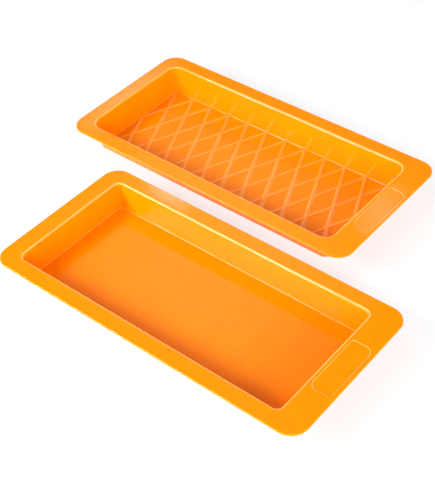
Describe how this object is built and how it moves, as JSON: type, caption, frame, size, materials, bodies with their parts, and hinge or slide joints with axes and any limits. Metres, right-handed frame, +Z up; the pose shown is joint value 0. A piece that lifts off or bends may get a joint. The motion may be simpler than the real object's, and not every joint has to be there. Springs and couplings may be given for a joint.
{
  "type": "nougat mould",
  "caption": "Two-piece silicone nougat mould: a deep rectangular tray with a raised diamond lattice floor and a shallow smooth tray, each with a flat flange wider at one end.",
  "frame": {"origin": "middle of the pair's outline, on the table the trays stand on", "axes": "+X along the trays' length towards their wide flange ends, +Y from the smooth tray to the patterned tray, +Z up"},
  "size_m": [0.3486, 0.2888, 0.026],
  "materials": {
    "patterned_silicone": "glossy orange silicone",
    "smooth_silicone": "glossy orange silicone"
  },
  "bodies": {
    "patterned_tray": {"patterned_tray": "patterned_silicone"},
    "smooth_tray": {"smooth_tray": "smooth_silicone"}
  },
  "joints": [
    {"name": "smooth_tray_lift", "type": "slide", "parent": "patterned_tray", "child": "smooth_tray", "axis": [0, 0, 1], "range_m": [0, 0.06]}
  ]
}
